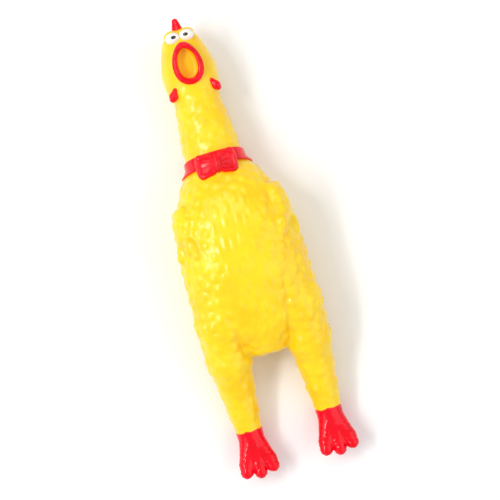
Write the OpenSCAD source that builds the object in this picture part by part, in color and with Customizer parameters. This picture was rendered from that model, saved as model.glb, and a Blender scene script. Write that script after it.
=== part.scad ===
// Squeaking rubber chicken, lying on its back.
// +Z is the chicken's front, +Y is towards its head, +X is its own left.
// The origin is under the middle of its length, on the surface that it lies on.

/* [Skin] */
// Thickness of the moulded vinyl skin
wall = 1.4; // [1.2:0.1:1.6]
// Gap between two zones of skin that turn against each other
joint_gap = 0.4; // [0.3:0.05:0.6]

/* [Torso] */
// Half the width of the torso across the flanks
torso_half_w = 21.0; // [19:0.5:22]
// Depth of the torso from its back to its belly
torso_depth = 34; // [31:0.5:36]
// Place along the body where the torso is deepest
belly_y = -8; // [-12:1:-4]
// Half the width of the belly panel that is pressed in
panel_half_w = 11; // [9:0.5:12]
// Half the length of the belly panel
panel_half_l = 19; // [16:1:20]
// Travel of the belly panel when it is squeezed
squeeze_travel = 12; // [8:1:14]

/* [Neck] */
// Height of the neck's axis above the surface
neck_z = 13; // [12:0.5:14]
// Radius of the neck at the collar
neck_base_r = 10.6; // [10:0.1:11]
// Place along the body where the lower neck nods
nod_y = 40; // [39:0.5:41]
// Place along the body where the upper neck sways
sway_y = 49; // [48.5:0.5:49.5]
// Place along the body where the head turns on the neck
turn_y = 56; // [55.5:0.5:56.5]

/* [Head] */
// Half the width of the head at the cheeks
head_half_w = 10.2; // [9.5:0.1:10.5]
// Place of the middle of the mouth along the body
mouth_y = 67.3; // [66.5:0.1:68]
// Half the width of the open mouth, inside the lips
mouth_half_w = 3.6; // [3:0.1:4]
// Half the height of the open mouth, inside the lips
mouth_half_l = 5.7; // [5:0.1:6]
// Radius of the rolled lip around the mouth
lip_r = 1.3; // [1:0.1:1.5]
// Radius of an eyeball
eye_r = 2.55; // [2.3:0.05:2.6]
// How far the comb stands above the crown
comb_h = 5.5; // [4:0.5:6]

/* [Legs] */
// Distance of a leg's axis from the middle of the body
leg_x = 15.3; // [14.5:0.1:16]
// Place of the hip along the body
hip_y = -45; // [-46:0.5:-44]
// Length of the thigh zone, from hip to knee
thigh_l = 10; // [9.5:0.5:10.5]
// Length of the shank zone, from knee to ankle
shank_l = 14; // [13:0.5:15]
// How far the leg slopes back towards the surface, in degrees
leg_slope = 9; // [6:1:11]
// Radius of the leg at the hip
hip_r = 7.1; // [6.8:0.1:7.2]
// Radius of the leg at the knee
knee_r = 6.1; // [5.8:0.1:6.3]
// Radius of the leg at the ankle
ankle_r = 4.7; // [4.5:0.1:4.9]

/* [Feet] */
// Length of the middle toe, from the ball of the foot
toe_l = 9.8; // [8:0.2:12]
// Radius of a toe
toe_r = 2.1; // [1.8:0.1:2.4]
// Pitch of the foot forward from the surface, in degrees
foot_pitch = 16; // [10:1:22]

/* [Collar and bow] */
// Width of the collar band along the neck
collar_w = 5; // [4:0.5:5.5]
// Half the width of the bow tie
bow_half_w = 7.6; // [6.5:0.1:8.5]

/* [Whistle] */
// Outer radius of the whistle's barrel
barrel_r = 5.6; // [5.2:0.1:5.8]
// Length of the whistle's barrel
barrel_l = 10; // [9.5:0.5:10.5]
// Thickness of the reed
reed_t = 0.25; // [0.2:0.05:0.35]

/* [Hidden] */

eps = 0.01;
seat_gap = 0.06;          // trim stands this far off the skin that it is bonded to
side_left = 1;            // the chicken's own left is +X
side_right = -1;
round_fn = 20;
small_fn = 14;
wing_fn = 12;
socket_fn = 24;
loft_fn = 30;
tube_fn = 72;
ring_fn = 96;
loft_rings = 18;
belly_bulge = 2.3;        // superellipse exponent of the torso's section

// Torso stations: [place along the body, half width, back height, front height].
torso_rows = [
    [-41.6,                4.0,                 8.5,  14],
    [-40.6,                5.8,                 6,    17.5],
    [-36,                  8.4,                 2.4,  23],
    [-28,                  14.2,                0.8,  27.6],
    [-18,                  torso_half_w - 1.4,  0.2,  torso_depth - 2.4],
    [belly_y,              torso_half_w,        0,    torso_depth],
    [4,                    torso_half_w - 0.8,  0,    torso_depth - 1],
    [14,                   torso_half_w - 2,    0.3,  torso_depth - 3.6],
    [20,                   16.6,                0.8,  torso_depth - 5.8],
    [25,                   14,                  1.5,  torso_depth - 8.6],
    [28.4,                 neck_base_r + 0.2,   neck_z - neck_base_r - 0.2, neck_z + neck_base_r + 0.2],
    [30,                   neck_base_r,         neck_z - neck_base_r,       neck_z + neck_base_r],
    [nod_y - 5.9,          neck_base_r - 0.1,   neck_z - neck_base_r + 0.1, neck_z + neck_base_r - 0.1],
];
stub_end_y = torso_rows[len(torso_rows) - 1][0];

// Thigh swellings on the flanks: [outward, along, height, radius].
thigh_rows = [
    [13.6,        -12,        13.5, 7.6],
    [leg_x - 0.2, -27,        13.0, 8.5],
    [leg_x,       hip_y + 5,  11.4, 7.8],
];

// Tail feathers: where they grow from, how far the middle one reaches, and how they fan out.
tail_root = [0, -31, 4.4];
tail_reach = [3.4, -6.4, -2.2];
tail_root_r = 3.2;
tail_tip_r = 1.9;

// Neck balls: radius of the skin at each place where it bends.
nod_r = 10.2;
sway_r = 9.0;
turn_r = 8.5;
sway_deg = 25;

// Head stations: [place along the body, half width, half depth, height].
head_rows = [
    [turn_y + 6.5,  8.9,                8.6,  neck_z - 0.1],
    [mouth_y - 4.5, head_half_w - 0.1,  9.6,  neck_z],
    [mouth_y + 0.5, head_half_w,        9.8,  neck_z],
    [mouth_y + 5,   8.4,                8.8,  neck_z + 0.2],
    [mouth_y + 8,   6.6,                7.2,  neck_z + 0.8],
    [mouth_y + 9.6, 4.9,                5.6,  neck_z + 1.6],
];
head_round = 4.6;         // half length of each head station along the body
lip_z = neck_z + 10.2;
lip_drop = 0.9;           // how far the lips' two ends lie below their sides
bowl_depth = 4.6;         // depth of the mouth below the lips
bowl_ease = 0.2;          // the mouth is cut this much wider than the lips' own edge
sound_hole_r = 1.1;
crown_y = 80;

// Legs: joint centres in the leg's own frame, which runs from the hip to the toes.
hip_z = 10.5;
swing_deg = 45;
splay_deg = 25;
ankle_deg = 30;
ball_gap = joint_gap;

function lerp(a, b, t) = a + (b - a) * t;
function spline(a, b, c, d, t) =
    0.5 * (2 * b + (c - a) * t + (2 * a - 5 * b + 4 * c - d) * t * t + (3 * b - a - 3 * c + d) * t * t * t);
function clamp_i(i, n) = max(0, min(n - 1, i));
// A smooth row between the given ones, at u from 0 to 1.
function row_at(rows, u) =
    let (n = len(rows), s = u * (n - 1), i = min(floor(s), n - 2), t = s - i)
    spline(rows[clamp_i(i - 1, n)], rows[i], rows[i + 1], rows[clamp_i(i + 2, n)], t);
function sgn_pow(v, p) = sign(v) * pow(abs(v), p);

// One section of the torso: an oval that is flatter at the back than at the belly.
function torso_section(row, shrink) =
    let (zc = lerp(row[2], row[3], 0.46), a = row[1] - shrink)
    [for (k = [0 : loft_fn - 1])
        let (
            th = 360 * k / loft_fn,
            half = (sin(th) > 0 ? row[3] - zc : zc - row[2]) - shrink,
            e = 2 / (sin(th) > 0 ? belly_bulge : belly_bulge + 0.5)
        )
        [a * sgn_pow(cos(th), e), row[0], zc + half * sgn_pow(sin(th), e)]];

module torso_loft(shrink, first, last) {
    rings = [for (i = [0 : loft_rings])
        torso_section(row_at(torso_rows, lerp(first, last, i / loft_rings)), shrink)];
    n = loft_fn;
    side = [for (i = [0 : loft_rings - 1], k = [0 : n - 1])
        each [[i * n + k, (i + 1) * n + (k + 1) % n, (i + 1) * n + k],
              [i * n + k, i * n + (k + 1) % n, (i + 1) * n + (k + 1) % n]]];
    start_cap = [for (k = [n - 1 : -1 : 0]) k];
    end_cap = [for (k = [0 : n - 1]) loft_rings * n + k];
    polyhedron(
        points = [for (r = rings, p = r) p],
        faces = concat(side, [start_cap], [end_cap]),
        convexity = 6
    );
}

module ellipsoid(half) {
    scale(half) sphere(r = 1, $fn = round_fn);
}

module trim_ellipsoid(half) {
    scale(half) sphere(r = 1, $fn = small_fn);
}

// Spheres strung together, each pair by its own hull.
module sphere_chain(rows, side, grow, fn = round_fn) {
    for (i = [0 : len(rows) - 2])
        hull()
            for (r = [rows[i], rows[i + 1]])
                translate([side * r[0], r[1], r[2]])
                    sphere(r = r[3] + grow, $fn = fn);
}

// Three stubby feathers at the foot of the back.
module tail_feathers() {
    for (turn = [-1, 0, 1])
        hull() {
            translate(tail_root) sphere(r = tail_root_r, $fn = small_fn);
            translate(tail_root + [tail_reach[0] * turn, tail_reach[1] + 1.2 * abs(turn), tail_reach[2]])
                sphere(r = tail_tip_r, $fn = small_fn);
        }
}

// The thigh swelling stops short of the hip, so that the leg can swing there.
module thigh_swelling(side) {
    difference() {
        sphere_chain(thigh_rows, side, 0);
        translate([side * leg_x, hip_y + (hip_r + ball_gap) * sin(swing_deg + 3), hip_z])
            rotate([90, 0, 0])
                cylinder(r = hip_r + 4, h = 20, $fn = socket_fn);
    }
}

module torso_outer() {
    torso_loft(0, 0, 1);
    for (side = [side_left, side_right]) thigh_swelling(side);
    tail_feathers();
}

module torso_inner() {
    torso_loft(wall, 0.02, 1);
    translate([0, stub_end_y - 0.5, neck_z])
        rotate([-90, 0, 0])
            cylinder(r = neck_base_r - 0.1 - wall, h = 2, $fn = loft_fn);
    for (side = [side_left, side_right])
        sphere_chain(thigh_rows, side, -wall);
}

// The upright oval plug that the belly panel slides through.
module panel_plug(grow) {
    translate([0, belly_y, neck_z])
        linear_extrude(torso_depth)
            scale([panel_half_w + grow, panel_half_l + grow])
                circle(r = 1, $fn = 36);
}

module torso_skin() {
    color([1.0, 0.82, 0.08])
        difference() {
            torso_outer();
            torso_inner();
            panel_plug(joint_gap);
            for (side = [side_left, side_right])
                translate([side * leg_x, hip_y, hip_z])
                    sphere(r = hip_r + ball_gap, $fn = socket_fn);
            neck_socket();
            collar_seat();
        }
}

// The band lies in a shallow recess that leaves the neck round.
module collar_seat() {
    along_neck(collar_y - seat_gap)
        difference() {
            cylinder(r = neck_base_r + 4, h = collar_w + 2 * seat_gap, $fn = 48);
            translate([0, 0, -1]) cylinder(r = neck_base_r - 0.02, h = collar_w + 2, $fn = 48);
        }
}

module neck_socket() {
    translate([0, nod_y, neck_z])
        sphere(r = nod_r + ball_gap, $fn = 28);
}

// Height of the belly above a point of the torso's outline.
function belly_z(x, y) =
    let (
        u = [for (i = [0 : 200]) if (row_at(torso_rows, i / 200)[0] <= y) i / 200],
        row = row_at(torso_rows, max(u)),
        zc = lerp(row[2], row[3], 0.46)
    )
    zc + (row[3] - zc) * pow(max(0, 1 - pow(abs(x) / row[1], belly_bulge)), 1 / belly_bulge);

panel_rings = 7;
panel_fn = 36;

module belly_panel() {
    spots = concat(
        [[0, belly_y]],
        [for (i = [1 : panel_rings], k = [0 : panel_fn - 1])
            let (s = i / panel_rings, th = 360 * k / panel_fn)
            [panel_half_w * s * cos(th), belly_y + panel_half_l * s * sin(th)]]
    );
    m = len(spots);
    function at(i, k) = 1 + (i - 1) * panel_fn + k % panel_fn;
    fan = [for (k = [0 : panel_fn - 1]) [0, at(1, k + 1), at(1, k)]];
    skirt = [for (i = [1 : panel_rings - 1], k = [0 : panel_fn - 1])
        each [[at(i, k), at(i, k + 1), at(i + 1, k + 1)], [at(i, k), at(i + 1, k + 1), at(i + 1, k)]]];
    rim = [for (k = [0 : panel_fn - 1])
        each [[at(panel_rings, k), at(panel_rings, k + 1), m + at(panel_rings, k + 1)],
              [at(panel_rings, k), m + at(panel_rings, k + 1), m + at(panel_rings, k)]]];
    under = [for (f = concat(fan, skirt)) [m + f[2], m + f[1], m + f[0]]];
    color([1.0, 0.84, 0.10])
        polyhedron(
            points = concat(
                [for (p = spots) [p[0], p[1], belly_z(p[0], p[1])]],
                [for (p = spots) [p[0], p[1], belly_z(p[0], p[1]) - wall]]
            ),
            faces = concat(fan, skirt, rim, under),
            convexity = 4
        );
}

// A folded wing: the arm from shoulder to elbow, then feathers that lie back along the flank.
// Each row is [outward, along, height, radius].
wing_arm = [
    [16.2, 14.6, 18.4, 3.3],
    [17.6, 10,   19.0, 4.3],
    [18.2, 4,    18.6, 4.8],
];
wing_feathers = [
    [[17.2, 4.5, 21.6, 3.7], [17.0, 1.0, 23.0, 3.2], [16.6, -2.0, 23.6, 2.5]],
    [[18.8, 3.5, 17.8, 3.8], [19.6, -1.0, 18.0, 3.2], [19.9, -4.4, 17.6, 2.3]],
    [[18.6, 3.5, 13.8, 3.7], [19.4, -1.0, 12.8, 3.1], [19.8, -4.8, 11.6, 2.3]],
];

module wing(side) {
    color([1.0, 0.82, 0.08])
        difference() {
            union() {
                sphere_chain(wing_arm, side, 0, wing_fn);
                for (feather = wing_feathers) sphere_chain(feather, side, 0, wing_fn);
            }
            torso_loft(-seat_gap, 0, 1);
            sphere_chain(thigh_rows, side, seat_gap);
        }
}
module left_wing() { wing(side_left); }
module right_wing() { wing(side_right); }

collar_y = 29;            // lower edge of the collar band
collar_t = 1.1;
bow_y = 29.6;
bow_z = neck_z + neck_base_r + 2.4;
knot_half = [1.8, 2.9, 1.9];

module collar_band() {
    color([0.85, 0.02, 0.06])
        translate([0, collar_y, neck_z])
            rotate([-90, 0, 0])
                rotate_extrude($fn = ring_fn)
                    translate([neck_base_r + seat_gap, 0])
                        square([collar_t, collar_w]);
}

module bow_loop(side, grow) {
    hull() {
        translate([side * 2.0, bow_y, bow_z]) sphere(r = 1.7 + grow, $fn = small_fn);
        for (up = [-1, 1])
            translate([side * (bow_half_w - 1.5), bow_y + 2.9 * up, bow_z - 0.4])
                sphere(r = 1.5 + grow, $fn = small_fn);
    }
}

module knot_shape(grow) {
    translate([0, bow_y, bow_z + 0.3]) ellipsoid(knot_half + [grow, grow, grow]);
}

module collar_solid(grow) {
    translate([0, collar_y - grow, neck_z])
        rotate([-90, 0, 0])
            cylinder(r = neck_base_r + seat_gap + collar_t + grow, h = collar_w + 2 * grow, $fn = ring_fn);
}

module bow_loop_node(side) {
    color([0.85, 0.02, 0.06])
        difference() {
            bow_loop(side, 0);
            knot_shape(seat_gap);
            collar_solid(seat_gap);
        }
}
module bow_left_loop() { bow_loop_node(side_left); }
module bow_right_loop() { bow_loop_node(side_right); }
module bow_knot() {
    color([0.85, 0.02, 0.06])
        difference() {
            knot_shape(0);
            collar_solid(seat_gap);
        }
}

// A zone of round skin: a hollow ball that turns in the zone before it, then a tapering tube.
// The tube ends where the next ball, of radius next_r at next_l, starts to show.
module limb_zone(ball_r, start_r, end_r, end_l, hole_deg, next_r, next_l) {
    rotate_extrude($fn = 64)
        difference() {
            union() {
                intersection() {
                    circle(r = ball_r, $fn = ring_fn);
                    translate([0, -ball_r * sin(hole_deg)]) square([ball_r + 1, ball_r * sin(hole_deg) + eps]);
                }
                polygon([[0, 0], [start_r, 0], [end_r, end_l], [0, end_l]]);
            }
            circle(r = ball_r - wall, $fn = ring_fn);
            polygon([[0, 0], [start_r - wall, 0], [end_r - wall, end_l + eps], [0, end_l + eps]]);
            translate([0, next_l]) circle(r = next_r, $fn = ring_fn);
            translate([-2 * ball_r, -2 * ball_r]) square([2 * ball_r, 60]);
        }
}

module lower_neck_skin() {
    color([1.0, 0.84, 0.10])
        translate([0, nod_y, neck_z])
            rotate([-90, 0, 0])
                limb_zone(nod_r, nod_r - 0.1, sway_r + 0.55, sway_y - nod_y - (sway_r + ball_gap) * sin(sway_deg + 2),
                    68, sway_r + ball_gap, sway_y - nod_y);
}

module upper_neck_skin() {
    color([1.0, 0.84, 0.10])
        translate([0, sway_y, neck_z])
            rotate([-90, 0, 0])
                limb_zone(sway_r, sway_r - 0.1, turn_r, turn_y - sway_y, 52, 0.5, -sway_r);
}

// The whistle sits in the upper neck, with its outlet towards the mouth.
barrel_y = turn_y - barrel_l + 0.5;
reed_root_y = barrel_y + barrel_l - 3.2;
barrel_t = 1;
core_r = barrel_r - barrel_t - seat_gap;
flange_l = 2;             // the flange that the neck's skin grips
flange_back = 2.5;
trough_r = 2.4;
trough_plate_t = 1.6;
bore_r = 1.6;
reed_half_w = 1.9;
reed_rest_gap = 0.1;
clamp_size = [4.4, 1.4, 1.2];
cap_t = 1;
vent_r = 0.8;
vent_count = 6;
vent_ring_r = 2.9;

module along_neck(y) {
    translate([0, y, neck_z]) rotate([-90, 0, 0]) children();
}

module whistle_barrel() {
    color([0.92, 0.92, 0.90])
        along_neck(barrel_y)
            difference() {
                union() {
                    cylinder(r = barrel_r, h = barrel_l, $fn = tube_fn);
                    translate([0, 0, barrel_l - flange_back])
                        cylinder(r = turn_r - wall - 0.1, h = flange_l, $fn = tube_fn);
                }
                translate([0, 0, -1]) cylinder(r = barrel_r - barrel_t, h = barrel_l + 2, $fn = tube_fn);
            }
}

module whistle_trough() {
    trough_l = barrel_l - 2 * trough_plate_t;
    color([0.85, 0.88, 0.92])
        along_neck(barrel_y + trough_plate_t)
            difference() {
                union() {
                    translate([0, 0, trough_l]) cylinder(r = core_r, h = trough_plate_t, $fn = tube_fn);
                    intersection() {
                        cylinder(r = trough_r, h = trough_l + 0.5, $fn = 48);
                        translate([-5, 0, -1]) cube([10, 5, trough_l + 3]);
                    }
                }
                translate([0, 0, 1]) cylinder(r = bore_r, h = trough_l + trough_plate_t, $fn = 48);
            }
}

// The reed lies on the trough's flat side and lifts off it at its free end.
module reed() {
    reed_l = reed_root_y - barrel_y - 1.9;
    color([0.80, 0.85, 0.90])
        translate([-reed_half_w, reed_root_y - reed_l, neck_z + reed_rest_gap])
            cube([2 * reed_half_w, reed_l - 0.1, reed_t]);
}

module reed_clamp() {
    color([0.75, 0.78, 0.80])
        translate([-clamp_size[0] / 2, reed_root_y, neck_z + seat_gap])
            cube(clamp_size);
}

module whistle_cap() {
    color([0.92, 0.92, 0.90])
        along_neck(barrel_y + 0.1)
            difference() {
                cylinder(r = core_r, h = cap_t, $fn = tube_fn);
                for (k = [0 : vent_count - 1])
                    rotate([0, 0, 360 * k / vent_count])
                        translate([vent_ring_r, 0, -1]) cylinder(r = vent_r, h = cap_t + 2, $fn = 24);
                translate([0, 0, -1]) cylinder(r = vent_r + 0.2, h = cap_t + 2, $fn = 24);
            }
}

module head_station(row, shrink) {
    translate([0, row[0], row[3]])
        ellipsoid([row[1] - shrink, head_round - shrink, row[2] - shrink]);
}

module head_solid(shrink) {
    hull() {
        translate([0, turn_y + joint_gap, neck_z])
            rotate([-90, 0, 0])
                cylinder(r = turn_r - shrink, h = 1, $fn = loft_fn);
        head_station(head_rows[0], shrink);
    }
    for (i = [0 : len(head_rows) - 2])
        hull() {
            head_station(head_rows[i], shrink);
            head_station(head_rows[i + 1], shrink);
        }
}

// The mouth is a closed bowl under the lips, with a small sound hole at its lower end.
module mouth_bowl(grow) {
    ease = bowl_ease + grow;
    translate([0, mouth_y, lip_z - lip_drop])
        ellipsoid([mouth_half_w + ease, mouth_half_l + ease, bowl_depth + grow]);
}

module mouth_opening() {
    mouth_bowl(0);
    translate([0, mouth_y, lip_z - lip_drop])
        linear_extrude(bowl_depth)
            scale([mouth_half_w + bowl_ease, mouth_half_l + bowl_ease])
                circle(r = 1, $fn = round_fn);
    translate([0, mouth_y - 0.7 * mouth_half_l, lip_z - 2 * bowl_depth])
        cylinder(r = sound_hole_r, h = 2 * bowl_depth, $fn = small_fn);
}

module head_skin() {
    color([1.0, 0.83, 0.09])
        difference() {
            union() {
                difference() {
                    head_solid(0);
                    head_solid(wall);
                }
                intersection() {
                    head_solid(0);
                    mouth_bowl(wall);
                }
            }
            translate([0, turn_y - 1, neck_z])
                rotate([-90, 0, 0])
                    cylinder(r = turn_r - wall, h = 3, $fn = loft_fn);
            mouth_opening();
            lip_torus(lip_r + seat_gap);
            comb_solid(seat_gap);
            for (side = [side_left, side_right]) {
                eyeball(side, seat_gap);
                wattle_shape(side, seat_gap);
            }
        }
}

// A round roll that follows the mouth's oval edge.
module lip_torus(r) {
    n = 40;
    m = 12;
    spots = [for (i = [0 : n - 1], k = [0 : m - 1])
        let (
            th = 360 * i / n,
            ph = 360 * k / m,
            out = [mouth_half_l * cos(th), mouth_half_w * sin(th)] / norm([mouth_half_l * cos(th), mouth_half_w * sin(th)]),
            spine = [(mouth_half_w + lip_r) * cos(th), mouth_y + (mouth_half_l + lip_r) * sin(th)]
        )
        [spine[0] + out[0] * r * cos(ph), spine[1] + out[1] * r * cos(ph), lip_z - lip_drop * pow(sin(th), 2) + r * sin(ph)]];
    polyhedron(
        points = spots,
        faces = [for (i = [0 : n - 1], k = [0 : m - 1])
            [i * m + k, i * m + (k + 1) % m, ((i + 1) % n) * m + (k + 1) % m, ((i + 1) % n) * m + k]],
        convexity = 6
    );
}

module lip_ring() {
    color([0.88, 0.02, 0.05]) lip_torus(lip_r);
}

// The comb: lobes of one flat fin that runs back over the crown.
// Each row is [root along, root height, root radius, tip along, tip height, tip radius].
comb_lobes = [
    [crown_y - 1.0, neck_z + 2.8, 2.1, crown_y + comb_h - 1.3, neck_z + 3.2, 1.2],
    [crown_y - 1.8, neck_z - 0.6, 2.0, crown_y + comb_h - 2.4, neck_z - 0.8, 1.2],
    [crown_y - 3.2, neck_z - 3.8, 2.0, crown_y + comb_h - 4.8, neck_z - 5.0, 1.2],
];

comb_root_half_w = 1.9;
comb_tip_half_w = 0.9;

module comb_solid(grow) {
    for (l = comb_lobes)
        hull() {
            translate([0, l[0], l[1]]) trim_ellipsoid([comb_root_half_w + grow, l[2] + grow, l[2] + grow]);
            translate([0, l[3], l[4]]) trim_ellipsoid([comb_tip_half_w + grow, l[5] + grow, l[5] + grow]);
        }
    for (i = [0 : len(comb_lobes) - 2])
        hull()
            for (l = [comb_lobes[i], comb_lobes[i + 1]])
                translate([0, l[0], l[1]]) trim_ellipsoid([comb_root_half_w + grow, l[2] + grow, l[2] + grow]);
}

module comb() {
    color([0.85, 0.03, 0.08])
        difference() {
            comb_solid(0);
            for (side = [side_left, side_right]) eyeball(side, seat_gap);
        }
}

eye_at = [eye_r + 0.05, 77.4, neck_z + 6.2];
pupil_half = [1.05, 0.75];
pupil_in_deg = 9;         // how far each eye looks inwards
pupil_t = 0.27;

module eyeball(side, grow) {
    translate([side * eye_at[0], eye_at[1], eye_at[2]])
        sphere(r = eye_r + grow, $fn = socket_fn);
}

module eye(side) {
    color([0.97, 0.97, 0.93]) eyeball(side, 0);
}
module left_eye() { eye(side_left); }
module right_eye() { eye(side_right); }

// A thin cap on the eyeball.
module pupil(side) {
    color([0.03, 0.02, 0.02])
        translate([side * eye_at[0], eye_at[1], eye_at[2]])
            intersection() {
                difference() {
                    sphere(r = eye_r + seat_gap / 2 + pupil_t, $fn = 32);
                    sphere(r = eye_r + seat_gap / 2, $fn = 32);
                }
                rotate([0, -side * pupil_in_deg, 0])
                    scale([pupil_half[0], pupil_half[1], 1])
                        cylinder(r = 1, h = 2 * eye_r, $fn = 32);
            }
}
module left_pupil() { pupil(side_left); }
module right_pupil() { pupil(side_right); }

// A wattle: [outward, along, height, radius] at its point and at its round end.
wattle_rows = [
    [7.6, 59.6, neck_z + 5.2, 1.1],
    [8.6, 57.2, neck_z + 5.4, 1.5],
];

module wattle_shape(side, grow) {
    sphere_chain(wattle_rows, side, grow, small_fn);
}
module left_wattle() { color([0.88, 0.04, 0.08]) wattle_shape(side_left, 0); }
module right_wattle() { color([0.88, 0.04, 0.08]) wattle_shape(side_right, 0); }

// Places a leg's own frame: its Z runs down the leg from the hip.
module leg_frame(side) {
    translate([side * leg_x, hip_y, hip_z]) rotate([90 + leg_slope, 0, 0]) children();
}

module thigh(side) {
    color([1.0, 0.84, 0.10])
        leg_frame(side)
            limb_zone(hip_r, hip_r - 0.1, knee_r + 0.35, thigh_l - (knee_r + ball_gap) * sin(splay_deg + 2),
                80, knee_r + ball_gap, thigh_l);
}
module left_thigh_skin() { thigh(side_left); }
module right_thigh_skin() { thigh(side_right); }

module shank(side) {
    color([1.0, 0.84, 0.10])
        leg_frame(side)
            translate([0, 0, thigh_l])
                limb_zone(knee_r, knee_r - 0.1, ankle_r + 0.3, shank_l - (ankle_r + ball_gap) * sin(ankle_deg + 2),
                    72, ankle_r + ball_gap, shank_l);
}
module left_shank_skin() { shank(side_left); }
module right_shank_skin() { shank(side_right); }

// Toes: [spread in degrees, length as a share of the middle toe].
toes = [[-20, 0.95], [0, 1], [20, 0.95]];

module foot(side) {
    ankle = [side * leg_x, hip_y - (thigh_l + shank_l) * cos(leg_slope), hip_z - (thigh_l + shank_l) * sin(leg_slope)];
    ball = [0, -7.2, 1.2];
    color([0.90, 0.02, 0.05])
        translate(ankle) {
            sphere(r = ankle_r, $fn = round_fn);
            hull() {
                translate([0, -1, 0]) sphere(r = ankle_r - 0.4, $fn = small_fn);
                for (t = [-1, 1]) translate(ball + [3.0 * t, 0, 0]) sphere(r = 2.9, $fn = small_fn);
            }
            for (t = toes) {
                reach = toe_l * t[1];
                aim = [sin(t[0]), -cos(t[0]) * cos(foot_pitch), cos(t[0]) * sin(foot_pitch)];
                root = ball + [3.4 * sign(t[0]), 0, 0];
                knuckle = root + aim * reach * 0.5 + [0, 0, 0.5];
                tip = root + aim * (reach - toe_r);
                hull() {
                    translate(root) sphere(r = toe_r + 0.4, $fn = small_fn);
                    translate(knuckle) sphere(r = toe_r + 0.1, $fn = small_fn);
                }
                hull() {
                    translate(knuckle) sphere(r = toe_r + 0.1, $fn = small_fn);
                    translate(tip) sphere(r = toe_r, $fn = small_fn);
                }
            }
            // the short toe at the back, which is what the foot lies on
            hull() {
                translate([0, -2.6, -1.6]) sphere(r = 2.6, $fn = small_fn);
                translate([0, -5.4, -ankle[2] + 1.7]) sphere(r = 1.7, $fn = small_fn);
            }
        }
}
module left_foot() { foot(side_left); }
module right_foot() { foot(side_right); }

torso_skin();
belly_panel();
left_wing();
right_wing();
collar_band();
bow_left_loop();
bow_right_loop();
bow_knot();
lower_neck_skin();
upper_neck_skin();
whistle_barrel();
whistle_trough();
reed_clamp();
reed();
whistle_cap();
head_skin();
lip_ring();
comb();
left_eye();
right_eye();
left_pupil();
right_pupil();
left_wattle();
right_wattle();
left_thigh_skin();
right_thigh_skin();
left_shank_skin();
right_shank_skin();
left_foot();
right_foot();
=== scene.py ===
import math

import bmesh
import bpy
import numpy as np
from mathutils import Matrix, Vector
from mathutils.kdtree import KDTree


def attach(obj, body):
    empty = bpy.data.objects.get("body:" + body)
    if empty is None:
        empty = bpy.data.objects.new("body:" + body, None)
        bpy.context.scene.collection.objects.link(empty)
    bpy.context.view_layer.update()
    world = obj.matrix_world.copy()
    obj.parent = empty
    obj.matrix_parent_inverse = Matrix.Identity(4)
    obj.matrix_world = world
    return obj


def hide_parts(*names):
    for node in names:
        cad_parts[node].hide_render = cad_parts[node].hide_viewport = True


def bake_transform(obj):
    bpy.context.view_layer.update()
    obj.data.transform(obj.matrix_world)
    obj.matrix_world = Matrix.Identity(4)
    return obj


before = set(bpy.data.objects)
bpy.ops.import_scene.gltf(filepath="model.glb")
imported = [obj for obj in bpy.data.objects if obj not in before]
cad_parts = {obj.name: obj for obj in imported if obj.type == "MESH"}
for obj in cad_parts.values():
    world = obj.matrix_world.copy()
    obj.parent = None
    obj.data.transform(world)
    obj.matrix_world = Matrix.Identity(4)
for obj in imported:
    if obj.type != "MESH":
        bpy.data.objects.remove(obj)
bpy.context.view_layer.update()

MM = 0.001

# The chicken's own measures in millimetres, in the row frame.
NECK_Z = 13.0
BOW_Y = 29.9
MOUTH_Y = 67.4
LEG_X = 15.3
ANKLE = (LEG_X, -68.7, 6.75)
EYE = (2.6, 77.55, 19.1)
EYE_HALF = (2.65, 2.15, 2.6)
WING_TOP_Y = 17.9
# half width and half length of the egg outlines round the mouth, from the inside out
BOWL_HALF = (3.5, 5.6)
LIP_HALF = (4.25, 6.5)
MUZZLE_HALF = (4.7, 7.1)
BEAD_HALF = (4.95, 7.3)
# the collar: middle, lean towards the head per mm of depth, half width, half thickness
COLLAR_Y, COLLAR_LEAN, COLLAR_HALF_Y, COLLAR_HALF_T = 30.4, 0.15, 2.4, 1.0
# the moulded relief: nubs all over, long streaks down the belly, ridges across the feet
NUB_SPACING, NUB_REACH = 3.8, 1.9
STREAK_SPACING, STREAK_REACH, STREAK_STRETCH = 2.5, 1.2, (0.95, 3.0, 1.0)
RIDGE_PITCH = 1.5


# ---------------------------------------------------------------- distance fields
def smin(a, b, k):
    h = np.clip(0.5 + 0.5 * (b - a) / k, 0, 1)
    return b + (a - b) * h - k * h * (1 - h)


def smax(a, b, k):
    return -smin(-a, -b, k)


def step01(x, lo, hi):
    t = np.clip((x - lo) / (hi - lo), 0, 1)
    return t * t * (3 - 2 * t)


def curve(rows, y):
    """Smooth rows (y, values...) sampled at y: one array per value."""
    rows = np.array(rows, float)
    fine = []
    n = len(rows)
    for i in range(n - 1):
        a, b, c, d = rows[max(i - 1, 0)], rows[i], rows[i + 1], rows[min(i + 2, n - 1)]
        step = c[0] - b[0]
        mb = (c - a) / max(c[0] - a[0], 1e-6) * step
        mc = (d - b) / max(d[0] - b[0], 1e-6) * step
        for t in np.linspace(0, 1, 12, endpoint=i == n - 2):
            h = (2 * t**3 - 3 * t**2 + 1, t**3 - 2 * t**2 + t, -2 * t**3 + 3 * t**2, t**3 - t**2)
            p = h[0] * b + h[1] * mb + h[2] * c + h[3] * mc
            p[0] = b[0] + t * step
            fine.append(p)
    fine = np.array(fine)
    return [np.interp(y, fine[:, 0], fine[:, k]) for k in range(1, rows.shape[1])]


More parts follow.
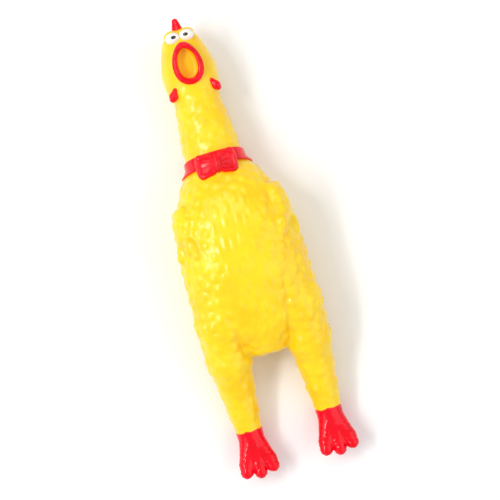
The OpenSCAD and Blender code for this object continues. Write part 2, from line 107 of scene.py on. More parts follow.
def loft(p, rows):
    """Distance to a body along Y. Rows are (y, centre x, half width, back z, front z)."""
    y0, y1 = rows[0][0], rows[-1][0]
    yc = np.clip(p[:, 1], y0, y1)
    cx, a, zb, zf = curve(rows, yc)
    mid = zb + (zf - zb) * 0.46
    x, z = p[:, 0] - cx, p[:, 2] - mid
    h = np.where(z > 0, zf - mid, mid - zb)
    e = 2.15 + 0.4 * step01(yc, -40, -30) * (1 - step01(yc, 16, 28))
    s = ((np.abs(x) / a) ** e + (np.abs(z) / h) ** e) ** (1 / e)
    r = np.hypot(x, z)
    d = np.where(s > 1e-3, (1 - 1 / np.maximum(s, 1e-3)) * r, -np.minimum(a, h))
    dy = np.abs(p[:, 1] - yc)
    return np.where(dy > 0, np.hypot(np.maximum(d, 0), dy), d)


def cone(p, a, b, ra, rb):
    """Distance to a rounded cone from a to b."""
    a, b = np.array(a, float), np.array(b, float)
    ab = b - a
    t = np.clip((p - a) @ ab / (ab @ ab), 0, 1)
    return np.linalg.norm(p - a - t[:, None] * ab, axis=1) - (ra + (rb - ra) * t)


def ball(p, c, half):
    q = (p - np.array(c, float)) / np.array(half, float)
    s = np.linalg.norm(q, axis=1)
    r = np.linalg.norm(p - np.array(c, float), axis=1)
    return np.where(s > 1e-3, (1 - 1 / np.maximum(s, 1e-3)) * r, -min(half))


def mirrored(p):
    q = p.copy()
    q[:, 0] = np.abs(q[:, 0])
    return q


# ---------------------------------------------------------------- the moulded skin
# the body with no limbs, from crotch to crown: rows of y, centre x, half width, back z, front z
CORE = [
    (-41.6, 0, 5.8, 8.0, 16.4),
    (-40.6, 0, 7.8, 5.4, 19.6),
    (-36, 0, 10.8, 2.6, 23.0),
    (-29, 0, 15.8, 1.1, 26.6),
    (-20, 0, 20.0, 0.6, 29.8),
    (-9, 0, 21.7, 0.5, 32.0),
    (0, 0, 21.6, 0.5, 32.4),
    (9, 0, 20.4, 0.5, 31.6),
    (14.4, 0, 19.2, 0.8, 30.4),
    (18, 0, 17.9, 1.0, 29.2),
    (21, 0, 16.7, 1.2, 27.9),
    (24.4, 0, 15.0, 1.5, 26.2),
    (27.4, 0, 13.0, 2.0, 24.7),
    (29.4, 0, 11.2, 2.2, 24.0),
    (31, 0, 10.45, 2.3, 23.7),
    (36, 0, 10.45, 2.5, 23.5),
    (41, 0, 10.05, 2.9, 23.1),
    (47, 0, 9.3, 3.7, 22.3),
    (52, 0, 8.75, 4.3, 21.7),
    (55.5, 0, 8.6, 4.4, 21.5),
    (58.5, 0, 9.6, 4.0, 21.9),
    (62, 0, 10.05, 3.4, 22.4),
    (66.4, 0, 10.1, 3.2, 22.6),
    (71, 0, 8.9, 4.2, 21.8),
    (75, 0, 7.6, 5.8, 20.6),
    (78.2, 0, 5.9, 8.0, 19.6),
    (80.0, 0, 3.4, 10.6, 18.2),
]


def mouth_scale(y):
    return 1 - 0.16 * np.clip((y - MOUTH_Y) / 7, -1, 1)


def egg(p, ax, ay):
    """Flat distance to the egg outline of the mouth, with these half sizes."""
    x = p[:, 0] / mouth_scale(p[:, 1])
    y = p[:, 1] - MOUTH_Y
    s = np.hypot(x / ax, y / ay)
    return (1 - 1 / np.maximum(s, 1e-3)) * np.hypot(x, y)


def lip_height(y):
    """Height of the middle of the lips' roll."""
    return 23.5 - 0.012 * (y - MOUTH_Y) ** 2


def skin_plain(p):
    """The skin with no fine relief."""
    q = mirrored(p)
    d = loft(p, CORE)
    thigh = cone(q, (14.2, -6, 17.4), (14.7, -26, 16.8), 7.6, 8.8)
    thigh = smin(thigh, cone(q, (14.7, -26, 16.8), (15.2, -40, 13.2), 8.8, 8.1), 2.0)
    thigh = smin(thigh, cone(q, (15.2, -40, 13.2), (LEG_X, -50, 10.0), 8.1, 6.6), 2.0)
    leg = cone(q, (LEG_X, -50, 9.7), (LEG_X, -59, 8.3), 6.55, 5.75)
    leg = smin(leg, cone(q, (LEG_X, -59, 8.3), ANKLE, 5.75, 4.75), 1.0)
    d = smin(d, smin(thigh, leg, 1.5), 1.8 + 2.6 * step01(p[:, 1], -41, -30))
    # the foot: a paw that widens into three blunt toes, and a short toe at the back
    ax, ay, az = ANKLE
    foot = cone(q, ANKLE, (ax, ay - 3.6, az + 0.4), 4.75, 4.3)
    for side, reach in ((-1, 0.0), (0, 1.1), (1, 0.0)):
        knuckle = (ax + 4.35 * side, ay - 10.9 - 0.4 * reach, az + 1.9)
        tip = (ax + 5.0 * side, ay - 13.7 - reach, az + 2.6)
        toe = cone(q, (ax + 1.2 * side, ay - 3.2, az + 0.5), knuckle, 3.7, 2.65)
        toe = smin(toe, cone(q, knuckle, tip, 2.65, 2.35), 0.8)
        foot = smin(foot, toe, 0.9)
    for x in (2.3, 0.4):
        web_y, web_z = ay - 7.6 - 0.9 * x, az + 1.2
        web = cone(q, (ax - x, web_y, web_z), (ax + x, web_y, web_z), 2.5, 2.5)
        foot = smin(foot, web, 1.4)
    foot = smin(foot, cone(q, (ax, ay - 3.2, az - 1.6), (ax, ay - 6.4, 1.75), 2.5, 1.7), 1.4)
    d = smin(d, foot, 1.0)
    # tail feathers at the foot of the back
    for turn in (-1, 0, 1):
        tail = cone(p, (0, -31, 4.4), (3.4 * turn, -37.4 + 1.2 * abs(turn), 2.2), 3.2, 1.9)
        d = smin(d, tail, 0.9)
    # folded wings
    wing = ball(q, (16.0, 8.4, 20.0), (5.7, 11.6, 8.0))
    wing = smax(wing, q[:, 1] - WING_TOP_Y + 0.12 * (q[:, 0] - 19), 0.7)
    for a, b, c, r in (
        ((16.6, 7, 25.0), (16.2, 3.4, 27.0), (15.6, 0.6, 28.0), 2.8),
        ((18.6, 6, 20.8), (19.8, 1.0, 21.4), (19.9, -2.2, 21.2), 2.8),
        ((18.4, 6, 14.6), (19.6, 0.5, 13.6), (19.8, -4.2, 12.2), 2.8),
    ):
        f = smin(cone(q, a, b, r + 0.3, r), cone(q, b, c, r, r - 0.9), 0.8)
        wing = smin(wing, f, 0.45)
    d = smin(d, wing, 0.6)
    # muzzle under the lips, and brows over the eyes
    muzzle = smax(egg(p, *MUZZLE_HALF), np.abs(p[:, 2] - 19.0) - (lip_height(p[:, 1]) - 19.4), 1.2)
    d = smin(d, muzzle, 1.8)
    d = smin(d, ball(q, (EYE[0], EYE[1] + 1.0, EYE[2] - 1.4), (3.0, 2.05, 3.0)), 0.7)
    # the throat, which holds the whistle, and the mouth's bowl, with the sound hole between them
    throat = cone(p, (0, 54.0, NECK_Z), (0, 46.8, NECK_Z), 6.0, 6.0)
    throat = np.minimum(throat, cone(p, (0, 61.4, 20.0), (0, 56, NECK_Z), 0.9, 0.9))
    bowl = smax(egg(p, *BOWL_HALF), 19.5 - p[:, 2] + 0.10 * (p[:, 1] - MOUTH_Y), 1.8)
    d = smax(d, -np.minimum(throat, bowl), 0.5)
    return d


# ---------------------------------------------------------------- surface from a field
def surface(field, lo, hi, h, relax=2):
    """Quads on the zero of field, inside the box lo..hi, about h apart."""
    lo, hi = np.array(lo, float), np.array(hi, float)
    n = np.ceil((hi - lo) / h).astype(int) + 1
    axes = [lo[k] + h * np.arange(n[k]) for k in range(3)]
    grid = np.empty(tuple(n), np.float32)
    yy, zz = np.meshgrid(axes[1], axes[2], indexing="ij")
    for i, x in enumerate(axes[0]):
        p = np.stack([np.full(yy.size, x), yy.ravel(), zz.ravel()], axis=1)
        grid[i] = field(p).reshape(yy.shape)
    inside = grid < 0
    corners = [(a, b, c) for a in (0, 1) for b in (0, 1) for c in (0, 1)]
    block = [inside[a:n[0] - 1 + a, b:n[1] - 1 + b, c:n[2] - 1 + c] for a, b, c in corners]
    count = sum(b.astype(np.int8) for b in block)
    cells = np.argwhere((count > 0) & (count < 8))
    index = -np.ones(tuple(n - 1), np.int64)
    index[tuple(cells.T)] = np.arange(len(cells))
    value = np.stack([grid[tuple((cells + corner).T)] for corner in corners], axis=1)
    total = np.zeros((len(cells), 3))
    hits = np.zeros(len(cells))
    for i, ca in enumerate(corners):
        for j, cb in enumerate(corners):
            if j <= i or sum(abs(u - v) for u, v in zip(ca, cb)) != 1:
                continue
            va, vb = value[:, i], value[:, j]
            cross = (va < 0) != (vb < 0)
            t = np.where(cross, va / np.where(cross, va - vb, 1), 0)
            point = np.array(ca) + t[:, None] * (np.array(cb) - np.array(ca))
            total += np.where(cross[:, None], point, 0)
            hits += cross
    verts = lo + h * (cells + total / hits[:, None])
    faces = []
    for axis in range(3):
        u, v = [k for k in range(3) if k != axis]
        first = np.take(inside, range(0, n[axis] - 1), axis)
        second = np.take(inside, range(1, n[axis]), axis)
        edges = np.argwhere(first != second)
        for k in (u, v):
            edges = edges[(edges[:, k] > 0) & (edges[:, k] < n[k] - 1)]
        sign = first[tuple(edges.T)]
        around = []
        for du, dv in ((-1, -1), (0, -1), (0, 0), (-1, 0)):
            c = edges.copy()
            c[:, u] += du
            c[:, v] += dv
            around.append(index[tuple(c.T)])
        quad = np.stack(around, axis=1)
        flip = sign if axis != 1 else ~sign
        quad[~flip] = quad[~flip][:, ::-1]
        faces.append(quad)
    faces = np.concatenate(faces)
    for _ in range(relax):
        push = np.zeros_like(verts)
        seen = np.zeros(len(verts))
        for k in range(4):
            a, b = faces[:, k], faces[:, (k + 1) % 4]
            np.add.at(push, a, verts[b])
            np.add.at(push, b, verts[a])
            np.add.at(seen, a, 1)
            np.add.at(seen, b, 1)
        verts = 0.5 * verts + 0.5 * push / np.maximum(seen, 1)[:, None]
        verts, _ = project(field, verts)
    return verts, faces


def gradient(field, p, e=0.08):
    g = np.empty_like(p)
    for k in range(3):
        step = np.zeros(3)
        step[k] = e
        g[:, k] = (field(p + step) - field(p - step)) / (2 * e)
    return g


def project(field, p):
    g = gradient(field, p)
    size = np.maximum(np.linalg.norm(g, axis=1), 0.3)
    move = np.clip(field(p) / size, -0.4, 0.4)
    normal = g / size[:, None]
    return p - normal * move[:, None], normal


def scatter(points, spacing, seed, stretch=(1, 1, 1)):
    """A seeded choice of points that are at least spacing apart, once stretched."""
    rng = np.random.default_rng(seed)
    q = points / np.array(stretch, float)
    taken = {}
    out = []
    for i in rng.permutation(len(points)):
        c = tuple(np.floor(q[i] / spacing).astype(int))
        near = False
        for dx in (-1, 0, 1):
            for dy in (-1, 0, 1):
                for dz in (-1, 0, 1):
                    for j in taken.get((c[0] + dx, c[1] + dy, c[2] + dz), ()):
                        if ((q[i] - q[j]) ** 2).sum() < spacing * spacing:
                            near = True
        if not near:
            taken.setdefault(c, []).append(i)
            out.append(i)
    return points[out]


def nearest(points, seeds, stretch=(1, 1, 1)):
    """Distance from each point to the nearest and the second nearest seed, once stretched."""
    s = np.array(stretch, float)
    tree = KDTree(len(seeds))
    for i, c in enumerate(seeds / s):
        tree.insert(Vector(c), i)
    tree.balance()
    out = np.empty((len(points), 2))
    for i, c in enumerate(points / s):
        found = tree.find_n(c, 2)
        out[i] = found[0][2], found[1][2]
    return out


# ---------------------------------------------------------------- meshes and materials
def mesh_object(name, verts, faces, material):
    me = bpy.data.meshes.new(name)
    me.from_pydata((np.asarray(verts) * MM).tolist(), [], [list(map(int, f)) for f in faces])
    me.update()
    me.polygons.foreach_set("use_smooth", [True] * len(me.polygons))
    rest = me.attributes.new("rest", "FLOAT_VECTOR", "POINT")
    rest.data.foreach_set("vector", np.asarray(verts, np.float32).ravel())
    me.materials.append(material)
    ob = bpy.data.objects.new(name, me)
    bpy.context.scene.collection.objects.link(ob)
    return ob


def node(nt, kind, **values):
    n = nt.nodes.new(kind)
    for k, v in values.items():
        if hasattr(n, k):
            setattr(n, k, v)
        else:
            n.inputs[k.replace("_", " ")].default_value = v
    return n


def material(name, tones, rough, spread, bump, scale, coat=0.3, soft=0.0, shine=0.5, paint=None):
    """A procedural surface: dark, base and light tones, roughness variation and a fine bump."""
    dark, base, light = tones
    m = bpy.data.materials.new(name)
    m.use_nodes = True
    nt = m.node_tree
    p = nt.nodes["Principled BSDF"]
    at = node(nt, "ShaderNodeAttribute", attribute_name="rest")
    wide = node(nt, "ShaderNodeTexNoise", Scale=scale * 0.12, Detail=3.0, Roughness=0.55)
    fine = node(nt, "ShaderNodeTexNoise", Scale=scale, Detail=5.0, Roughness=0.6)
    speck = node(nt, "ShaderNodeTexVoronoi", Scale=scale * 0.7)
    for t in (wide, fine, speck):
        nt.links.new(at.outputs["Vector"], t.inputs["Vector"])
    ramp = nt.nodes.new("ShaderNodeValToRGB")
    ramp.color_ramp.elements[0].position = 0.32
    ramp.color_ramp.elements[0].color = (*dark, 1)
    ramp.color_ramp.elements[1].position = 0.70
    ramp.color_ramp.elements[1].color = (*light, 1)
    mid = ramp.color_ramp.elements.new(0.5)
    mid.color = (*base, 1)
    nt.links.new(wide.outputs["Fac"], ramp.inputs["Fac"])
    colour = ramp.outputs["Color"]
    if paint:
        # a paint edge across Y, wavy by the noise
        paint_colour, edge_y = paint
        axes = nt.nodes.new("ShaderNodeSeparateXYZ")
        nt.links.new(at.outputs["Vector"], axes.inputs["Vector"])
        wave = node(nt, "ShaderNodeTexNoise", Scale=0.35, Detail=2.0)
        nt.links.new(at.outputs["Vector"], wave.inputs["Vector"])
        shift = node(nt, "ShaderNodeMath", operation="MULTIPLY_ADD")
        nt.links.new(wave.outputs["Fac"], shift.inputs[0])
        shift.inputs[1].default_value = 1.6
        nt.links.new(axes.outputs["Y"], shift.inputs[2])
        mask = nt.nodes.new("ShaderNodeMapRange")
        mask.inputs["From Min"].default_value = edge_y + 0.9
        mask.inputs["From Max"].default_value = edge_y + 0.7
        nt.links.new(shift.outputs["Value"], mask.inputs["Value"])
        mix = nt.nodes.new("ShaderNodeMix")
        mix.data_type = "RGBA"
        mix.inputs[7].default_value = (*paint_colour, 1)
        nt.links.new(mask.outputs["Result"], mix.inputs[0])
        nt.links.new(colour, mix.inputs[6])
        colour = mix.outputs[2]
    nt.links.new(colour, p.inputs["Base Color"])
    rr = nt.nodes.new("ShaderNodeMapRange")
    rr.inputs["To Min"].default_value = rough - spread
    rr.inputs["To Max"].default_value = rough + spread
    nt.links.new(fine.outputs["Fac"], rr.inputs["Value"])
    nt.links.new(rr.outputs["Result"], p.inputs["Roughness"])
    b1 = node(nt, "ShaderNodeBump", Strength=bump, Distance=0.0004)
    nt.links.new(fine.outputs["Fac"], b1.inputs["Height"])
    b2 = node(nt, "ShaderNodeBump", Strength=bump * 0.6, Distance=0.0003)
    nt.links.new(speck.outputs["Distance"], b2.inputs["Height"])
    nt.links.new(b1.outputs["Normal"], b2.inputs["Normal"])
    nt.links.new(b2.outputs["Normal"], p.inputs["Normal"])
    p.inputs["Coat Weight"].default_value = coat
    p.inputs["Coat Roughness"].default_value = 0.03
    p.inputs["Specular IOR Level"].default_value = shine
    if soft:
        p.inputs["Subsurface Weight"].default_value = soft
        p.inputs["Subsurface Radius"].default_value = (1.0, 0.6, 0.15)
        p.inputs["Subsurface Scale"].default_value = 0.0016
    return m


YELLOW_TONES = ((1.0, 0.59, 0.004), (1.0, 0.65, 0.006), (1.0, 0.70, 0.010))
# painted shade: the inside of the mouth is the same yellow vinyl, made deeper orange for the shade in its
# recess
MOUTH_SHADE_TONES = ((1.0, 0.50, 0.002), (1.0, 0.57, 0.004), (1.0, 0.61, 0.006))
RED_TONES = ((0.74, 0.0, 0.008), (0.88, 0.0, 0.012), (0.94, 0.001, 0.016))
WHITE_TONES = ((0.82, 0.80, 0.74), (0.90, 0.89, 0.84), (0.94, 0.93, 0.90))
BLACK_TONES = ((0.004, 0.003, 0.003), (0.012, 0.006, 0.005), (0.03, 0.012, 0.008))
PLASTIC_TONES = ((0.72, 0.72, 0.68), (0.82, 0.82, 0.79), (0.88, 0.88, 0.86))
FILM_TONES = ((0.55, 0.60, 0.66), (0.66, 0.72, 0.78), (0.74, 0.79, 0.84))
PAINT_EDGE_Y = -67.6

VINYL = dict(rough=0.30, spread=0.08, bump=0.10, scale=0.9, coat=0.25, soft=0.12, shine=0.35)
YELLOW = material("yellow_vinyl", YELLOW_TONES, **VINYL)
# the mouth's inside: yellow vinyl darkened to orange as painted shade
MOUTH_PAINTED_SHADE = material("mouth_inside_painted_shade", MOUTH_SHADE_TONES, 0.34, 0.08, 0.10, 0.9, coat=0.15, soft=0.12, shine=0.3)
ANKLE_SKIN = material("yellow_vinyl_paint_edge", YELLOW_TONES, **VINYL, paint=(RED_TONES[1], PAINT_EDGE_Y))
RED = material("red_paint", RED_TONES, 0.26, 0.08, 0.05, 1.1, coat=0.55, shine=0.04)
WHITE = material("eye_white", WHITE_TONES, 0.18, 0.05, 0.05, 1.4, coat=0.6)
BLACK = material("pupil_black", BLACK_TONES, 0.16, 0.05, 0.05, 2.0, coat=0.6)
PLASTIC = material("whistle_plastic", PLASTIC_TONES, 0.42, 0.10, 0.12, 1.5, coat=0.1)
FILM = material("reed_film", FILM_TONES, 0.22, 0.06, 0.08, 2.0, coat=0.4)


# ---------------------------------------------------------------- build the skin
STEP = 0.45
verts, faces = surface(skin_plain, (-27, -88, -1.5), (27, 83, 36.5), STEP)
_, normals = project(skin_plain, verts)
X, Y, Z = verts.T

outer = np.ones(len(verts))
outer *= 1 - step01(6.9 - np.hypot(X, Z - NECK_Z), -0.4, 0.4) * (Y > 38) * (Y < 62)
in_mouth = step01(1.0 - egg(verts, 4.6, 7.2), 0.0, 1.0) * (Y > 56) * (Z > 12)
outer *= 1 - in_mouth

nub_seeds = scatter(verts, NUB_SPACING, 7)
near = nearest(verts, nub_seeds)
nub = np.clip(1 - (near[:, 0] / NUB_REACH) ** 2, 0, 1) ** 1.4
groove = np.clip(1 - (near[:, 1] - near[:, 0]) / 0.9, 0, 1)
streak_seeds = scatter(verts, STREAK_SPACING, 11, STREAK_STRETCH)
near_s = nearest(verts, streak_seeds, STREAK_STRETCH)
streak = np.clip(1 - (near_s[:, 0] / STREAK_REACH) ** 2, 0, 1) ** 1.3

torso_part = step01(Y, -44, -36) * (1 - step01(Y, 26, 30))
belly_mid = torso_part * (1 - step01(np.abs(X), 6, 11)) * step01(Z, 20, 25) * (1 - step01(Y, 17, 23))
neck_part = step01(Y, 34, 37) * (1 - step01(Y, 55, 60))
leg_part = (1 - step01(Y, -44, -36)) * step01(Y, -67.5, -66)
head_part = step01(Y, 56, 61)
relief = 0.42 * nub * torso_part * (1 - belly_mid) + 0.3 * streak * belly_mid
relief -= 0.10 * groove * torso_part * (1 - belly_mid)
relief += 0.34 * nub * (neck_part + 0.8 * leg_part)
relief += 0.08 * nub * head_part
ridge = 0.5 + 0.5 * np.cos((Y + 0.35 * np.abs(np.abs(X) - LEG_X)) * 2 * math.pi / RIDGE_PITCH)
relief += 0.13 * ridge * (1 - step01(Y, -75, -72)) * step01(Z, 8, 9)
# the crease between each thigh and the abdomen
edge = 8.0 + (Y + 41.5) * 0.16
crease = np.exp(-((np.abs(X) - edge) / 1.1) ** 2) * step01(Z, 12, 18)
crease *= (1 - step01(Y, -24, -12)) * step01(Y, -43, -40)
relief -= 0.7 * crease
verts = verts + normals * (relief * outer)[:, None]

whole = bpy.data.meshes.new("whole")
whole.from_pydata(verts.tolist(), [], faces.tolist())
bm = bmesh.new()
bm.from_mesh(whole)
bpy.data.meshes.remove(whole)


def cut(co, no, keep=lambda c: True):
    geom = [f for f in bm.faces if keep(f.calc_center_median())]
    edges = {e for f in geom for e in f.edges}
    points = {v for f in geom for v in f.verts}
    bmesh.ops.bisect_plane(bm, geom=list(points) + list(edges) + geom, dist=1e-4, plane_co=co, plane_no=no)


# where the skin is divided: up the neck, down each leg, and round the belly
NECK_CUTS = (35.5, 44.5, 52.7, 57.0)
LEG_CUTS = (-41.9, -50.2, -60.0, -68.2)
BELLY_Z = 27.0
for y in NECK_CUTS + LEG_CUTS:
    cut((0, y, 0), (0, 1, 0), lambda c, y=y: abs(c.y - y) < 2)
cut((0, 0, BELLY_Z), (0, 0, 1), lambda c: abs(c.z - BELLY_Z) < 2)
bm.normal_update()
bm.verts.ensure_lookup_table()
bm.verts.index_update()
all_verts = np.array([v.co for v in bm.verts])
all_normals = np.array([v.normal for v in bm.verts])


def zone(c):
    if c.z > BELLY_Z:
        return "skin_belly"
    side = "left" if c.x > 0 else "right"
    names = ("lower_neck", "upper_neck", "throat", "head")
    for name, y in zip(reversed(names), reversed(NECK_CUTS)):
        if c.y > y:
            return f"skin_{name}"
    for name, y in zip(("foot", "ankle", "shank", "thigh"), reversed(LEG_CUTS)):
        if c.y <= y:
            return f"skin_{side}_{name}"
    return "skin_torso"


zones = {}
for f in bm.faces:
    zones.setdefault(zone(f.calc_center_median()), []).append([v.index for v in f.verts])
bm.free()


def skin_piece(name):
    polys = zones[name]
    used = sorted({i for f in polys for i in f})
    new = {old: k for k, old in enumerate(used)}
    mat = RED if name.endswith("foot") else ANKLE_SKIN if name.endswith("ankle") else YELLOW
    ob = mesh_object(name, all_verts[used], [[new[i] for i in f] for f in polys], mat)
    if name == "skin_head":
        # faces inside the mouth's recess get the painted-shade material
        centres = np.array([q.center for q in ob.data.polygons]) / MM
        inside = (egg(centres, 4.4, 6.7) < 0) & (centres[:, 2] > 14)
        ob.data.materials.append(MOUTH_PAINTED_SHADE)
        ob.data.polygons.foreach_set("material_index", inside.astype(np.int32))
    ob.data.normals_split_custom_set_from_vertices(all_normals[used].tolist())
    return ob


skin = {name: skin_piece(name) for name in sorted(zones)}
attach(skin["skin_torso"], "torso")
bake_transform(skin["skin_belly"])
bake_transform(skin["skin_lower_neck"])
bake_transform(skin["skin_upper_neck"])
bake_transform(skin["skin_throat"])
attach(skin["skin_head"], "head")
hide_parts("torso_skin", "left_wing", "right_wing")
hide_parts("belly_panel")
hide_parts("lower_neck_skin")
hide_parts("upper_neck_skin")
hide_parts("head_skin")
for side in ("left", "right"):
    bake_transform(skin[f"skin_{side}_thigh"])
    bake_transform(skin[f"skin_{side}_shank"])
    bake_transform(skin[f"skin_{side}_ankle"])
    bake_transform(skin[f"skin_{side}_foot"])
    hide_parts(f"{side}_thigh_skin")
    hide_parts(f"{side}_shank_skin")
    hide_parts(f"{side}_foot")


# ---------------------------------------------------------------- red trim, eyes
def piece(name, field, lo, hi, h, mat, body, stands_for):
    v, f = surface(field, lo, hi, h * (1), relax=3)
    ob = mesh_object(name, v, f, mat)
    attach(ob, body)
    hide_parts(*stands_for)
    return ob


def lips(p):
    angle = np.arctan2((p[:, 1] - MOUTH_Y) / LIP_HALF[1], p[:, 0] / LIP_HALF[0])
    roll = 0.84 + 0.38 * step01(np.sin(angle), 0.4, 1.0)
    flat = egg(p, *LIP_HALF)
    dz = p[:, 2] - lip_height(p[:, 1])
    d = np.hypot(flat, dz * 0.95) - roll
    # a thin outer bead with a groove beside it
    bead = np.hypot(egg(p, *BEAD_HALF), dz + 0.25) - 0.55
    return smin(d, bead, 0.12)


piece("lip_roll", lips, (-8, 58, 20), (8, 78, 27), 0.22, RED, "head", ["lip_ring"])


# comb lobes, front to back: root (y, z), root radius, tip (y, z)
COMB_LOBES = (
    ((78.8, 15.2), 2.2, (83.9, 15.6)),
    ((77.6, 12.0), 2.1, (82.2, 11.6)),
    ((76.0, 9.0), 1.9, (79.6, 7.4)),
)


def comb_field(p):
    d = None
    for root, r, tip in COMB_LOBES:
        lobe = cone(p * np.array([0.85, 1, 1]), (0, *root), (0, *tip), r, 0.95)
        d = lobe if d is None else smin(d, lobe, 0.9)
    return d


piece("comb_fin", comb_field, (-4.5, 72, 4), (4.5, 87.5, 20), 0.3, RED, "head", ["comb"])


def wattle_field(sx):
    def field(p):
        drop = cone(p, (sx * 6.8, 59.4, 19.6), (sx * 7.9, 57.5, 19.0), 0.9, 1.55)
        return smin(drop, cone(p, (sx * 7.9, 57.5, 19.0), (sx * 8.4, 56.7, 18.4), 1.55, 1.3), 0.5)
    return field


for side, sx in (("left", 1), ("right", -1)):
    lo, hi = sorted((sx * 5.0, sx * 12.5))
    piece(f"{side}_wattle_drop", wattle_field(sx), (lo, 53, 14), (hi, 63, 22), 0.22,
          RED, "head", [f"{side}_wattle"])


BOW_Z = 24.9


def loop_field(sx):
    def field(p):
        x, y = sx * p[:, 0], p[:, 1] - BOW_Y
        z = p[:, 2] - BOW_Z + 0.028 * x**2
        half_y = 3.3 + 1.1 * step01(x, 0.4, 4.0) + 0.25 * np.sin(x * 1.3)
        s = ((np.abs(x - 3.9) / 3.75) ** 4 + (np.abs(y) / half_y) ** 4) ** 0.25
        flat = (s - 1) * 3.4
        top = 1.25 + 0.75 * np.exp(-(((flat + 0.8) / 0.6) ** 2))
        for lean in (-0.34, 0.04, 0.38):
            top += 0.4 * np.exp(-(((y - lean * (x + 1.0)) / 0.42) ** 2)) * (1 - step01(x, 2.0, 6.0))
        return smax(flat, np.maximum(z - top, -z - 1.7), 0.7)
    return field


for side, sx in (("left", 1), ("right", -1)):
    lo, hi = sorted((sx * -0.5, sx * 9.0))
    piece(f"{side}_bow_loop", loop_field(sx), (lo, 23, 21), (hi, 37, 28.5), 0.25,
          RED, "torso", [f"bow_{side}_loop"])


def knot_field(p):
    q = np.abs(p - np.array([0, BOW_Y, BOW_Z + 0.3])) / np.array([1.5, 3.3, 2.1])
    return ((q**3).sum(axis=1) ** (1 / 3) - 1) * 1.6 - 0.12 * np.cos(p[:, 0] * 4.6)


piece("bow_knot_wrap", knot_field, (-3, 25, 21), (3, 35, 29), 0.22, RED, "torso", ["bow_knot"])


def collar_field(p):
    _, a, zb, zf = curve(CORE, np.clip(p[:, 1], 25, 38))
    mid = zb + (zf - zb) * 0.46
    h = np.where(p[:, 2] > mid, zf - mid, mid - zb)
    s = ((np.abs(p[:, 0]) / a) ** 2.3 + (np.abs(p[:, 2] - mid) / h) ** 2.3) ** (1 / 2.3)
    d = (1 - 1 / np.maximum(s, 1e-3)) * np.hypot(p[:, 0], p[:, 2] - mid)
    y = np.abs(p[:, 1] - COLLAR_Y - COLLAR_LEAN * (p[:, 2] - NECK_Z))
    return smax(np.abs(d - 0.1) - COLLAR_HALF_T, y - COLLAR_HALF_Y, 0.6)


piece("collar_strap", collar_field, (-14, 24.5, -1), (14, 36, 27), 0.3,
      RED, "torso", ["collar_band"])


def dome(centre, half, look, size, tilt, lift):
    """Rings over an ellipsoid around one direction, out to the given half sizes, raised in the middle."""
    across = look.cross(Vector((0, 1, 0))).normalized()
    upward = across.cross(look).normalized()
    rings, seg = 10, 48
    v = [centre + np.array(look) * half * (1 + lift)]
    for i in range(1, rings + 1):
        t = i / rings
        for k in range(seg):
            a = 2 * math.pi * k / seg
            off = across * (size[0] * t * math.cos(a - tilt)) + upward * (size[1] * t * math.sin(a - tilt))
            rise = 1 + lift * (1 - t**4) - 0.01 * t
            v.append(centre + np.array((look + off).normalized()) * half * rise)
    f = [[0, 1 + k, 1 + (k + 1) % seg] for k in range(seg)]
    for i in range(1, rings):
        a, b = 1 + (i - 1) * seg, 1 + i * seg
        f += [[a + k, b + k, b + (k + 1) % seg, a + (k + 1) % seg] for k in range(seg)]
    return np.array(v), f


def eyeball_field(sx):
    def field(p):
        q = (p - np.array([sx * EYE[0], EYE[1], EYE[2]])) / np.array(EYE_HALF)
        return ((np.abs(q) ** 2.15).sum(axis=1) ** (1 / 2.15) - 1) * 2.2
    return field


for side, sx in (("left", 1), ("right", -1)):
    lo, hi = sorted((sx * -0.6, sx * 6.0))
    piece(f"{side}_eyeball", eyeball_field(sx), (lo, 74.5, 15.8), (hi, 80.5, 22.5), 0.2,
          WHITE, "head", [f"{side}_eye"])
    look = Vector((-sx * 0.16, 0.02, 1.0)).normalized()
    centre = np.array([sx * EYE[0], EYE[1], EYE[2]])
    pv, pf = dome(centre, np.array(EYE_HALF), look, (0.45, 0.33), sx * 0.12, 0.05)
    pupil = mesh_object(f"{side}_pupil_spot", pv, pf, BLACK)
    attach(pupil, "head")
    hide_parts(f"{side}_pupil")

# the whistle's own CAD pieces are shown, with their finish
for name in ("whistle_barrel", "whistle_trough", "reed_clamp", "whistle_cap", "reed"):
    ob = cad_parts[name]
    me = ob.data
    me.materials.clear()
    me.materials.append(FILM if name == "reed" else PLASTIC)
    rest = me.attributes.get("rest") or me.attributes.new("rest", "FLOAT_VECTOR", "POINT")
    co = np.empty(len(me.vertices) * 3, np.float32)
    me.vertices.foreach_get("co", co)
    rest.data.foreach_set("vector", co * 1000)

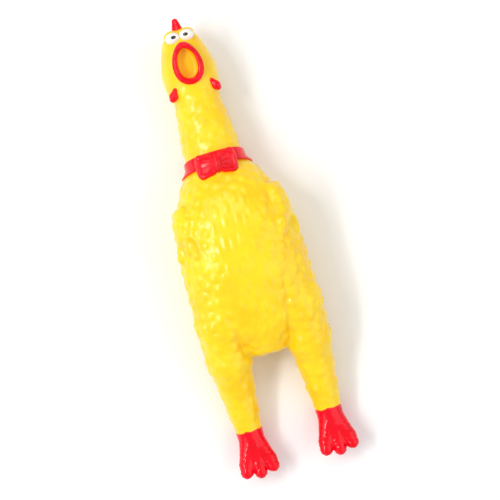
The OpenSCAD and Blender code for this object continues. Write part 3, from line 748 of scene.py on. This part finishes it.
# ---------------------------------------------------------------- stage, light, camera
floor_mat = bpy.data.materials.new("pale_floor")
floor_mat.use_nodes = True
fp = floor_mat.node_tree.nodes["Principled BSDF"]
fp.inputs["Base Color"].default_value = (0.93, 0.93, 0.93, 1)
fp.inputs["Roughness"].default_value = 0.6
bpy.ops.mesh.primitive_plane_add(size=6, location=(0, 0, -0.0004))
floor = bpy.context.object
floor.name = "floor"
floor.data.materials.append(floor_mat)

world = bpy.data.worlds.new("studio")
world.use_nodes = True
world.node_tree.nodes["Background"].inputs["Color"].default_value = (1, 1, 1, 1)
world.node_tree.nodes["Background"].inputs["Strength"].default_value = 0.48
bpy.context.scene.world = world
bpy.context.scene.view_settings.view_transform = "Standard"


def area(name, pos, along_y, across, power):
    data = bpy.data.lights.new(name, "AREA")
    data.shape = "RECTANGLE"
    data.size, data.size_y = along_y, across
    data.energy = power
    ob = bpy.data.objects.new(name, data)
    bpy.context.scene.collection.objects.link(ob)
    ob.location = pos
    ob.rotation_euler = (Vector((0, 0, 0.01)) - Vector(pos)).to_track_quat("-Z", "Y").to_euler()


area("key", (-0.46, 0.12, 0.66), 0.50, 0.10, 2.7)
area("sheen", (-0.60, -0.02, 0.42), 0.6, 0.30, 0.8)
area("fill", (0.60, -0.25, 0.60), 1.0, 0.9, 2.9)
area("top", (-0.05, 0.50, 0.75), 0.5, 0.3, 1.2)
area("glint", (-0.30, 0.16, 0.62), 0.07, 0.04, 0.35)

cam_data = bpy.data.cameras.new("camera")
cam = bpy.data.objects.new("camera", cam_data)
bpy.context.scene.collection.objects.link(cam)
bpy.context.scene.camera = cam
DIST, TILT, SIDE, ROLL = 0.50, math.radians(-1.6), math.radians(-1.95), math.radians(16.1)
target = Vector((0.0032, -0.0033, 0.018))
back = Vector((math.sin(SIDE) * math.cos(TILT), -math.sin(TILT), math.cos(SIDE) * math.cos(TILT)))
up = Vector((math.sin(ROLL), math.cos(ROLL), 0))
up = (up - back * up.dot(back)).normalized()
right = up.cross(back)
cam.matrix_world = Matrix((
    (right.x, up.x, back.x, target.x + back.x * DIST),
    (right.y, up.y, back.y, target.y + back.y * DIST),
    (right.z, up.z, back.z, target.z + back.z * DIST),
    (0, 0, 0, 1),
))
cam_data.sensor_width = 36
cam_data.lens = 99.3
cam_data.clip_start = 0.01
